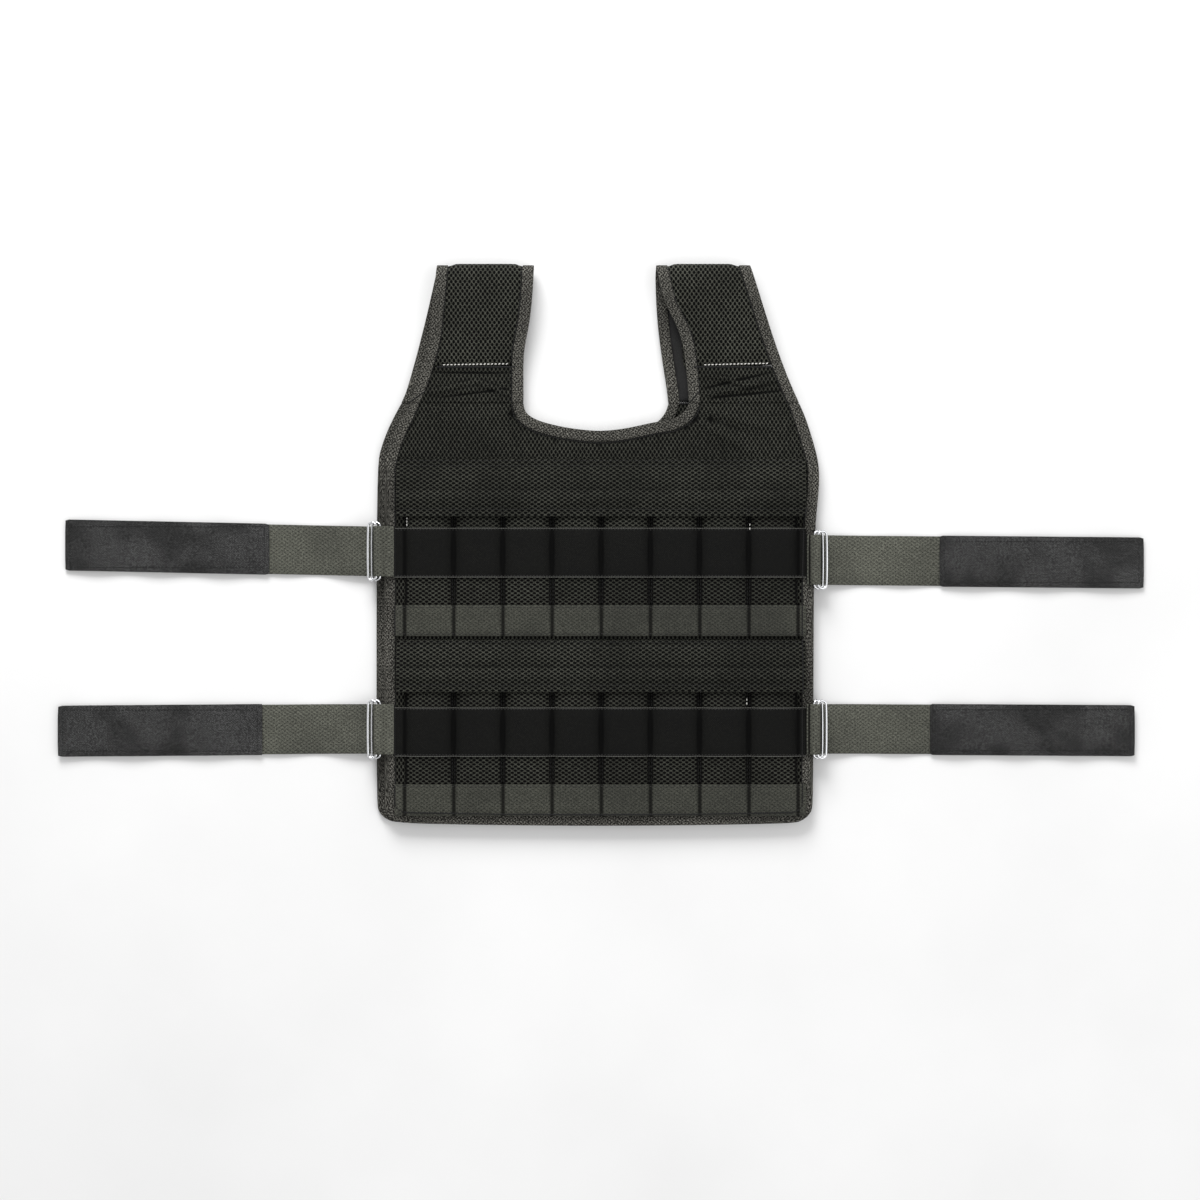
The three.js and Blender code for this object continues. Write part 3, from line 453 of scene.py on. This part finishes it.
def lay_tape(node, starts, direction):
    tape = copy_of(node)
    mesh = bmesh.new()
    mesh.from_mesh(tape.data)
    mesh.verts.index_update()
    order, middles = sections_of(mesh, starts)
    lengths = [0.0]
    for before, after in zip(middles, middles[1:]):
        lengths.append(lengths[-1] + (after - before).length)
    halves = [0.0] * len(middles)
    for vert in mesh.verts:
        step = order.get(vert.index, 0)
        halves[step] = max(halves[step], (vert.co - middles[step]).dot(direction(middles, step)))
    TAPE_SIDES[node] = [
        (middle, direction(middles, step), halves[step] + 0.4 * MM) for step, middle in enumerate(middles)
    ]
    layer = mesh.loops.layers.uv.new("run")
    for face in mesh.faces:
        for loop in face.loops:
            step = order.get(loop.vert.index, 0)
            out = direction(middles, step)
            run = middles[min(step + 1, len(middles) - 1)] - middles[max(step - 1, 0)]
            across = (loop.vert.co - middles[step]).dot(out + out.cross(run).normalized())
            loop[layer].uv = (lengths[step], across)
    mesh.to_mesh(tape.data)
    mesh.free()
    soften(tape, 2, degrees=60, crease=0.6)
    print(node, "runs", round(lengths[-1] / MM), "mm in", len(middles), "sections")
    return dress(tape, twill, "binding", node)


def at_seam(box, left):
    top = box[1].y - 0.0005
    middle = (box[0].x + box[1].x) / 2
    return lambda co: co.y > top and (co.x < middle) == left


for layer_name in ("front", "back"):
    for edge_name in ("edge", "neck"):
        node = f"{layer_name}_{edge_name}_binding"
        lay_tape(node, at_seam(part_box(node), True), across_flat)
for side in SIDES:
    for edge_name in ("outer", "inner"):
        node = f"{side}_shoulder_{edge_name}_binding"
        start_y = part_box(node)[0].y + 0.0005
        lay_tape(node, lambda co: co.y < start_y and co.z > 7 * MM, across_shoulder)

# %% [markdown]
# ## Panels
# The body of the vest is two quilted panels. Straight bisect cuts lay a grid over each one without changing
# its outline. The top face then gets a faint wave, and on the front panel folds run down from the neck corner.

# %% Cut, puff and fold the panels
GRID = 12 * MM


def cut_grid(piece, low, high, spacing=GRID):
    only(piece)
    bpy.ops.object.mode_set(mode="EDIT")
    for axis in (0, 1):
        count = int((high[axis] - low[axis]) / spacing)
        for k in range(1, count + 1):
            point = [0.0, 0.0, 0.0]
            normal = [0.0, 0.0, 0.0]
            point[axis] = low[axis] + k * spacing
            normal[axis] = 1.0
            bpy.ops.mesh.select_all(action="SELECT")
            bpy.ops.mesh.bisect(plane_co=point, plane_no=normal)
    bpy.ops.object.mode_set(mode="OBJECT")


def ridge(co, start, end, width, height):
    run = end - start
    along = max(0.0, min(1.0, (co - start).dot(run) / run.length_squared))
    away = (co - start - run * along).length
    return height * math.exp(-((away / width) ** 2)) * math.sin(math.pi * (0.15 + 0.7 * along))


YOKE_FOLDS = [
    (Vector((0.094, 0.124)), Vector((0.150, 0.092)), 4 * MM, 2.0 * MM),
    (Vector((0.092, 0.112)), Vector((0.128, 0.088)), 3 * MM, -0.9 * MM),
    (Vector((0.106, 0.134)), Vector((0.180, 0.112)), 4 * MM, 1.6 * MM),
    (Vector((0.108, 0.126)), Vector((0.165, 0.104)), 3 * MM, -0.9 * MM),
    (Vector((-0.150, 0.120)), Vector((-0.095, 0.130)), 5 * MM, 1.2 * MM),
]


def puffed(piece, folds, top_only):
    low, high = Vector(piece.bound_box[0]), Vector(piece.bound_box[6])
    middle = (low.z + high.z) / 2
    for vert in piece.data.vertices:
        co = vert.co
        if abs(co.z - middle) < (high.z - middle) * 0.75:
            continue
        if co.z < middle and top_only:
            continue
        flat = Vector((co.x, co.y))
        lift = sum(ridge(flat, *fold) for fold in folds)
        lift += 0.25 * MM * math.sin(co.x * 92) * math.sin(co.y * 71)
        co.z += lift if co.z > middle else 0.0


for layer_name, folds in (("front", YOKE_FOLDS), ("back", [])):
    node = f"{layer_name}_panel"
    panel = copy_of(node)
    cut_grid(panel, *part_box(node), spacing=GRID if layer_name == "back" else GRID / 2)
    modify(panel, "TRIANGULATE")
    modify(panel, "SUBSURF", levels=1, render_levels=1, subdivision_type="SIMPLE")
    puffed(panel, folds, True)
    only(panel)
    bpy.ops.object.shade_smooth_by_angle(angle=math.radians(35))
    dress(panel, yoke_mesh, "mesh", node)
    print(panel.name, "has", len(panel.data.polygons), "faces")

# %% [markdown]
# ## Shoulder pads
# A foam pad swells between its sewn rims. Cloth simulation with a little air pressure gives that swelling.
# The rims are pinned, because tape holds them, and no point may move far, so the pad stays in its place.

# %% Swell the pads
PAD_VOXEL = 3 * MM
PAD_MOVE = 1.2 * MM
RIM = 13.5 * MM


def pad_rims(node):
    """Inner and outer edge of the pad at each height of the strap, read from its solid."""
    cloth = NODES[node].data.vertices
    rows = {}
    for vert in cloth:
        rows.setdefault(round(vert.co.y / (4 * MM)), []).append(vert.co.x)
    return {key: (min(xs), max(xs)) for key, xs in rows.items()}


def swell(piece, node):
    rims = pad_rims(node)
    keys = sorted(rims)
    pins = piece.vertex_groups.new(name="rim")
    held = []
    for vert in piece.data.vertices:
        key = min(keys, key=lambda k: abs(k * 4 * MM - vert.co.y))
        low, high = rims[key]
        if min(vert.co.x - low, high - vert.co.x) < RIM or vert.co.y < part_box(node)[0].y + 4 * MM:
            held.append(vert.index)
    pins.add(held, 1.0, "REPLACE")
    before = [v.co.copy() for v in piece.data.vertices]
    cloth = piece.modifiers.new("Swell", "CLOTH")
    cloth.settings.vertex_group_mass = "rim"
    cloth.settings.use_pressure = True
    cloth.settings.uniform_pressure_force = 4
    cloth.settings.effector_weights.gravity = 0
    cloth.point_cache.frame_start = 1
    cloth.point_cache.frame_end = 20
    for number in range(1, 21):
        bpy.context.scene.frame_set(number)
    only(piece)
    bpy.ops.object.modifier_apply(modifier="Swell")
    bpy.context.scene.frame_set(1)
    for vert, start in zip(piece.data.vertices, before):
        move = vert.co - start
        if move.length > PAD_MOVE:
            vert.co = start + move.normalized() * PAD_MOVE
        vert.co.z = max(vert.co.z, 0.0)


for side in SIDES:
    node = f"{side}_shoulder_pad"
    pad = copy_of(node)
    modify(pad, "REMESH", mode="VOXEL", voxel_size=PAD_VOXEL)
    swell(pad, node)
    modify(pad, "SMOOTH", factor=0.5, iterations=2)
    modify(pad, "SUBSURF", levels=1, render_levels=1)
    only(pad)
    bpy.ops.object.shade_smooth()
    dress(pad, pad_mesh, "mesh", node)
    pad.data.materials.append(lining)
    for face in pad.data.polygons:
        on_back = face.center.z < 8.6 * MM
        face.material_index = int(face.normal.z > 0.3 if on_back else face.normal.z < -0.3)
    print(pad.name, "has", len(pad.data.polygons), "faces")

# %% [markdown]
# ## Wrinkled joins
# Below each pad the mesh is gathered into a few soft folds. The solid already has them, so a fine subdivision
# rounds them and small creases are added across.

# %% Round the joins
JOIN_FOLDS = {
    "left": [
        (Vector((-0.176, 0.150)), Vector((-0.122, 0.163)), 2.6 * MM, 1.5 * MM),
        (Vector((-0.124, 0.163)), Vector((-0.090, 0.149)), 2.6 * MM, 1.5 * MM),
        (Vector((-0.176, 0.172)), Vector((-0.090, 0.171)), 2.2 * MM, -1.0 * MM),
        (Vector((-0.165, 0.146)), Vector((-0.095, 0.155)), 2.2 * MM, -1.0 * MM),
    ],
    "right": [
        (Vector((0.104, 0.148)), Vector((0.180, 0.166)), 2.6 * MM, 1.5 * MM),
        (Vector((0.104, 0.156)), Vector((0.174, 0.173)), 2.2 * MM, -1.0 * MM),
        (Vector((0.104, 0.170)), Vector((0.150, 0.158)), 2.4 * MM, 1.2 * MM),
        (Vector((0.110, 0.146)), Vector((0.185, 0.154)), 2.2 * MM, -1.0 * MM),
    ],
}
for side in SIDES:
    node = f"{side}_strap_join"
    join = copy_of(node)
    soften(join, 3)
    low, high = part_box(node)
    for vert in join.data.vertices:
        share = (vert.co.y - low.y) / (high.y - low.y)
        calm = math.sin(math.pi * max(0.0, min(1.0, share))) ** 0.5
        flat = Vector((vert.co.x, vert.co.y))
        vert.co.z += calm * sum(ridge(flat, *fold) for fold in JOIN_FOLDS[side])
    dress(join, yoke_mesh, "mesh", node)
print("joins: 2")

# %% [markdown]
# ## Pockets, bands and flaps
# These are flat strips that follow the row of pockets. Their solids give the arches, so each copy is
# subdivided with its sewn edges held sharp, and the flaps get a faint ripple in code.


def ripple(piece, height, along_x, along_y):
    for vert in piece.data.vertices:
        vert.co.z += height * math.sin(vert.co.x * along_x) * math.sin(vert.co.y * along_y + vert.co.x * 31)


for row in ROWS:
    for number in range(1, 9):
        node = f"{row}_pocket_{number}"
        pocket = copy_of(node)
        soften(pocket, 3, degrees=60)
        dress(pocket, pocket_mesh, "mesh", node)
    for kind, material, slot in (("web", band_webbing, "webbing"), ("loop", loop_tape, "loop")):
        node = f"{row}_{kind}_band"
        band = copy_of(node)
        soften(band, 2, degrees=60)
        dress(band, material, slot, node)
    node = f"{row}_flap"
    flap = copy_of(node)
    soften(flap, 3, degrees=60)
    ripple(flap, 0.2 * MM, 70, 260)
    dress(flap, flap_mesh, "mesh", node)
print("pockets: 16, bands: 4, flaps: 2")

# %% [markdown]
# ## Straps, hook patches and loops
# Webbing keeps its width and only bends, so it is modelled directly. The solids hold the long waves that the
# straps lie in, and the subdivision turns each run of short flats into one curve.

# %% Soften the webbing
for row in ROWS:
    for side in SIDES:
        for kind, material, slot in (
            ("strap", webbing, "webbing"),
            ("hook_patch", hook_tape, "hook"),
            ("tab", webbing, "webbing"),
        ):
            node = f"{row}_{side}_{kind}"
            strip = copy_of(node)
            soften(strip, 2, degrees=60)
            dress(strip, material, slot, node)
print("straps, patches and loops: 12")

# %% [markdown]
# ## Stitches
# One stitch is modelled as a small bead of thread. Copies of it follow every seam and sit on whatever is
# highest there. Dropping each one on the cloth from above keeps it on the surface.

# %% One stitch, and a way to drop copies of it
bpy.ops.object.select_all(action="DESELECT")
bpy.ops.mesh.primitive_uv_sphere_add(segments=6, ring_count=4, radius=1.0, location=(0, 0, 0))
bead = bpy.context.active_object
BEAD_POINTS = [v.co.copy() for v in bead.data.vertices]
BEAD_FACES = [tuple(p.vertices) for p in bead.data.polygons]
bpy.data.objects.remove(bead)


def surface_tree():
    points, faces = [], []
    for piece in bpy.context.scene.objects:
        if piece.type == "MESH" and piece.name.endswith("_cloth"):
            start = len(points)
            points += [v.co.copy() for v in piece.data.vertices]
            faces += [tuple(start + k for k in p.vertices) for p in piece.data.polygons]
    return BVHTree.FromPolygons(points, faces)


CLOTH = surface_tree()


def drop(x, y):
    hit = CLOTH.ray_cast(Vector((x, y, 0.1)), Vector((0, 0, -1)))
    return hit[0], hit[1]


def sew(name, places, length, width, material, slot):
    """places holds (x, y, direction in the plane) of each stitch"""
    points, faces = [], []
    for x, y, turn in places:
        spot, normal = drop(x, y)
        if spot is None or spot.z < 0.0005:
            continue
        along = Vector((math.cos(turn), math.sin(turn), 0))
        along = (along - normal * along.dot(normal)).normalized()
        side = normal.cross(along)
        start = len(points)
        for p in BEAD_POINTS:
            points.append(spot + along * p.x * length / 2 + side * p.y * width / 2 + normal * p.z * width / 2)
        faces += [tuple(start + k for k in face) for face in BEAD_FACES]
    mesh = bpy.data.meshes.new(name)
    mesh.from_pydata([tuple(p) for p in points], [], faces)
    seam = bpy.data.objects.new(name, mesh)
    bpy.context.scene.collection.objects.link(seam)
    only(seam)
    bpy.ops.object.shade_smooth()
    print(name, len(points) // len(BEAD_POINTS), "stitches")
    return dress(seam, material, slot)


def line(start, end, pitch=3.2 * MM):
    run = Vector(end) - Vector(start)
    count = max(1, int(run.length / pitch))
    turn = math.atan2(run.y, run.x)
    return [(start[0] + run.x * (k + 0.5) / count, start[1] + run.y * (k + 0.5) / count, turn) for k in range(count)]


# %% [markdown]
# ## Where the seams run
# Bands are sewn along both edges, flaps along their top, crease and hem, pockets down each divider, and hook
# patches round their edge with a box. Most lines are worked out from the box of the piece that they hold; the binding
# seams follow the tape's sections, and one short line at the join is given as points.

# %% Sew the body
dark_places = []
divider_places = []
for row in ROWS:
    for kind in ("web", "loop"):
        low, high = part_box(f"{row}_{kind}_band")
        for y in (low.y + 2.2 * MM, high.y - 2.2 * MM):
            dark_places += line((low.x + 2 * MM, y), (high.x - 2 * MM, y))
    low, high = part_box(f"{row}_flap")
    for y in (high.y - 2 * MM, high.y - 7 * MM, low.y + 7 * MM):
        dark_places += line((low.x + 2 * MM, y), (high.x - 2 * MM, y))
    for number in range(1, 8):
        low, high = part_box(f"{row}_pocket_{number}")
        x = high.x + 0.3 * MM
        loop_low, loop_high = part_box(f"{row}_loop_band")
        web_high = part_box(f"{row}_web_band")[1]
        for shift in (-1.2 * MM, 1.2 * MM):
            divider_places += line((x + shift, web_high.y + 1 * MM), (x + shift, loop_low.y - 1 * MM))
            divider_places += line((x + shift, loop_high.y + 1 * MM), (x + shift, high.y - 6 * MM))
sew("body_stitches", dark_places, 2.6 * MM, 0.7 * MM, dark_thread, "binding")
sew("divider_stitches", divider_places, 2.6 * MM, 0.6 * MM, black_thread, "binding")

# %% Sew down the bindings and the joins
seam_places = []
for node, sections in TAPE_SIDES.items():
    if node.startswith("back_"):
        continue
    rows_of_edge = []
    for middle, out, half in sections:
        ends = [middle + out * sign * half for sign in (-1, 1)]
        beyond = [drop(*(middle + out * sign * (half + 3 * MM))[:2])[0] for sign in (-1, 1)]
        heights = [spot.z if spot is not None else 0.0 for spot in beyond]
        rows_of_edge.append((ends[heights.index(max(heights))], middle))
    upper = [ends for ends in rows_of_edge if ends[0].z > 4 * MM]
    for (first, middle), (second, next_middle) in zip(upper, upper[1:]):
        run = (next_middle - middle).length
        if 0.5 * MM < (second - first).length < 1.5 * run + 1 * MM:
            seam_places += line(first[:2], second[:2], 2.2 * MM)
join_places = line((0.078, 0.1408), (0.088, 0.1408), 2.2 * MM)
for side in SIDES:
    low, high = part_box(f"{side}_strap_join")
    for y, outer in ((low.y, 18 * MM), (high.y, 26 * MM)):
        left_inset, right_inset = (outer, 6 * MM) if side == "left" else (6 * MM, outer)
        join_places += line((low.x + left_inset, y), (high.x - right_inset, y), 2.2 * MM)
    # Black stitches down each tab's inner end stand partly for its real seam and partly for painted shade along the
    # tab's edge.
    for row in ROWS:
        low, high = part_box(f"{row}_{side}_tab")
        x = low.x if side == "right" else high.x
        seam_places += line((x, low.y + 1 * MM), (x, high.y - 1 * MM), 2.2 * MM)
sew("edge_seams", seam_places, 2.6 * MM, 1.6 * MM, black_thread, "binding")
sew("join_seams", join_places, 3.0 * MM, 2.4 * MM, black_thread, "binding")

# %% Pale selvedges of the loop bands
selvedge_places = []
for row in ROWS:
    low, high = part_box(f"{row}_loop_band")
    for y in (low.y + 0.6 * MM, high.y - 0.6 * MM):
        selvedge_places += line((low.x, y), (high.x, y), 1.7 * MM)
sew("selvedges", selvedge_places, 2.0 * MM, 1.0 * MM, grey_thread, "loop")

# %% Sew the hook patches
box_places = []
INSET = 5 * MM
for row in ROWS:
    for side in SIDES:
        low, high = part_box(f"{row}_{side}_hook_patch")
        lean = (high.y - low.y) - 51 * MM
        corners = [
            (low.x + INSET, low.y + INSET + lean / 2),
            (high.x - INSET, low.y + INSET + lean / 2),
            (high.x - INSET, high.y - INSET - lean / 2),
            (low.x + INSET, high.y - INSET - lean / 2),
        ]
        for start, end in zip(corners, corners[1:] + corners[:1]):
            box_places += line(start, end)
sew("patch_stitches", box_places, 2.6 * MM, 1.0 * MM, black_thread, "hook")

# %% [markdown]
# ## White stitches
# A white zigzag holds the front end of each shoulder pad, and short white ends of thread show by the pockets.

# %% Sew the zigzags and the loose ends
white_places = []
ZIGZAG = {"left": ((-0.158, 0.1790), (-0.092, 0.1800)), "right": ((0.102, 0.1790), (0.167, 0.1805))}
for side in SIDES:
    (x0, y0), (x1, y1) = ZIGZAG[side]
    count = 18
    for k in range(count):
        share = (k + 0.5) / count
        turn = math.radians(35 if k % 2 else 5)
        white_places.append((x0 + (x1 - x0) * share, y0 + (y1 - y0) * share, turn))
for x, y_low, y_high in ((-0.193, 0.018, 0.028), (0.148, 0.014, 0.022), (0.145, -0.160, -0.152)):
    white_places += line((x, y_low), (x, y_high))
sew("white_stitches", white_places, 2.9 * MM, 1.4 * MM, white_thread, "binding")

# %% [markdown]
# ## Floor, light and camera
# The photo is taken from straight above on a pale surface, so the camera looks straight down. Large soft
# lights leave only a faint shadow round the vest.

# %% Floor
bpy.ops.object.select_all(action="DESELECT")
bpy.ops.mesh.primitive_plane_add(size=8, location=(0, 0, -0.0003))
floor = bpy.context.active_object
floor.name = "floor"
floor.data.materials.append(floor_paint)
floor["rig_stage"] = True


# %% Lights
def soft_light(name, place, size, power):
    data = bpy.data.lights.new(name, "AREA")
    data.size = size
    data.energy = power
    light = bpy.data.objects.new(name, data)
    light.location = place
    light.rotation_euler = (-Vector(place)).to_track_quat("-Z", "Y").to_euler()
    bpy.context.scene.collection.objects.link(light)


soft_light("key", (-0.5, 2.5, 1.7), 1.5, 92)
soft_light("fill", (1.5, -0.6, 2.2), 2.0, 16)
world = bpy.data.worlds.new("studio")
world.use_nodes = True
world.node_tree.nodes["Background"].inputs[0].default_value = (1, 1, 1, 1)
world.node_tree.nodes["Background"].inputs[1].default_value = 0.62
bpy.context.scene.world = world

# %% Camera
CAMERA_HEIGHT = 2.8
VIEW_WIDTH = 1.2
camera_data = bpy.data.cameras.new("camera")
camera_data.lens = 36 * CAMERA_HEIGHT / VIEW_WIDTH
camera = bpy.data.objects.new("camera", camera_data)
camera.location = (-0.001, -0.055, CAMERA_HEIGHT)
bpy.context.scene.collection.objects.link(camera)
bpy.context.scene.camera = camera
bpy.context.scene.view_settings.view_transform = "Standard"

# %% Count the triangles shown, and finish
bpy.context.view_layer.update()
triangles = sum(len(p.vertices) - 2 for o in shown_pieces() for p in o.data.polygons)
print("triangles shown:", triangles)
